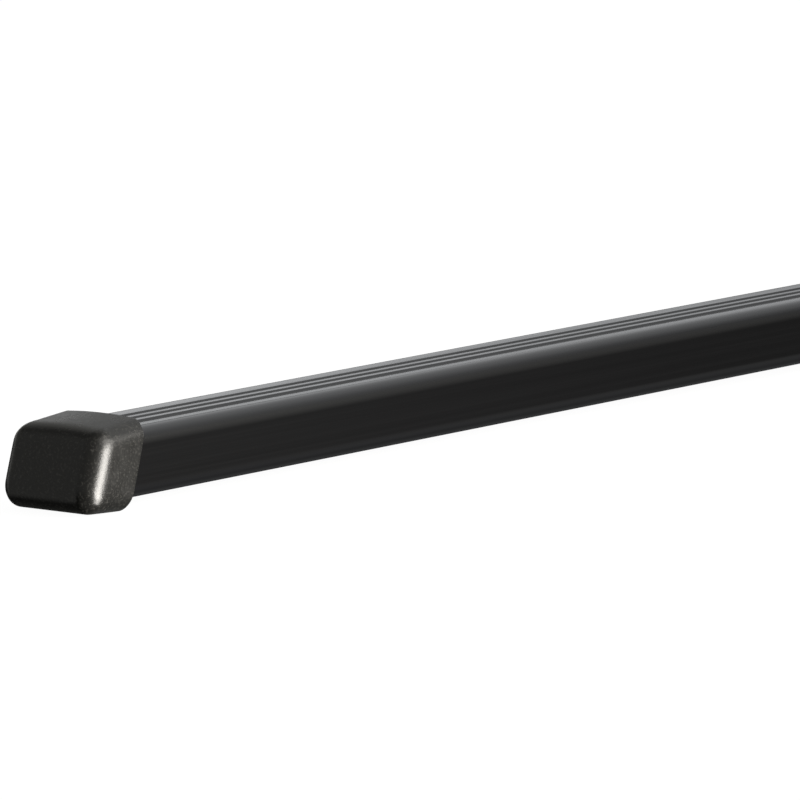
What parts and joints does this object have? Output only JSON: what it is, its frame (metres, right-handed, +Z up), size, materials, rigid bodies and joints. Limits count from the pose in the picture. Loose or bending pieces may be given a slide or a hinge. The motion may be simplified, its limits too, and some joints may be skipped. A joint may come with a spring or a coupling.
{
  "type": "roof rack crossbar",
  "caption": "Rectangular steel load bar in a ribbed black plastic jacket, with slanted, softly rounded push-on end caps. It carries loads across a vehicle's roof.",
  "frame": {"origin": "mid-length of the bar, on the middle line of its flat underside", "axes": "+X along the bar from the pictured end to the other, +Z up through the ribs on its top, -Y the side towards the camera"},
  "size_m": [1.2996, 0.0356, 0.0276],
  "materials": {
    "steel": "galvanised, dull",
    "jacket_plastic": "satin black extrusion",
    "cap_plastic": "fine-grained black moulding"
  },
  "bodies": {
    "bar": {"steel_tube": "steel", "ribbed_jacket": "jacket_plastic"},
    "left_cap": {"end_cap_left": "cap_plastic"},
    "right_cap": {"end_cap_right": "cap_plastic"}
  },
  "joints": [
    {"name": "left_cap_pull", "type": "slide", "parent": "bar", "child": "left_cap", "axis": [-1, 0, 0], "range_m": [0, 0.03]},
    {"name": "right_cap_pull", "type": "slide", "parent": "bar", "child": "right_cap", "axis": [1, 0, 0], "range_m": [0, 0.03]}
  ]
}
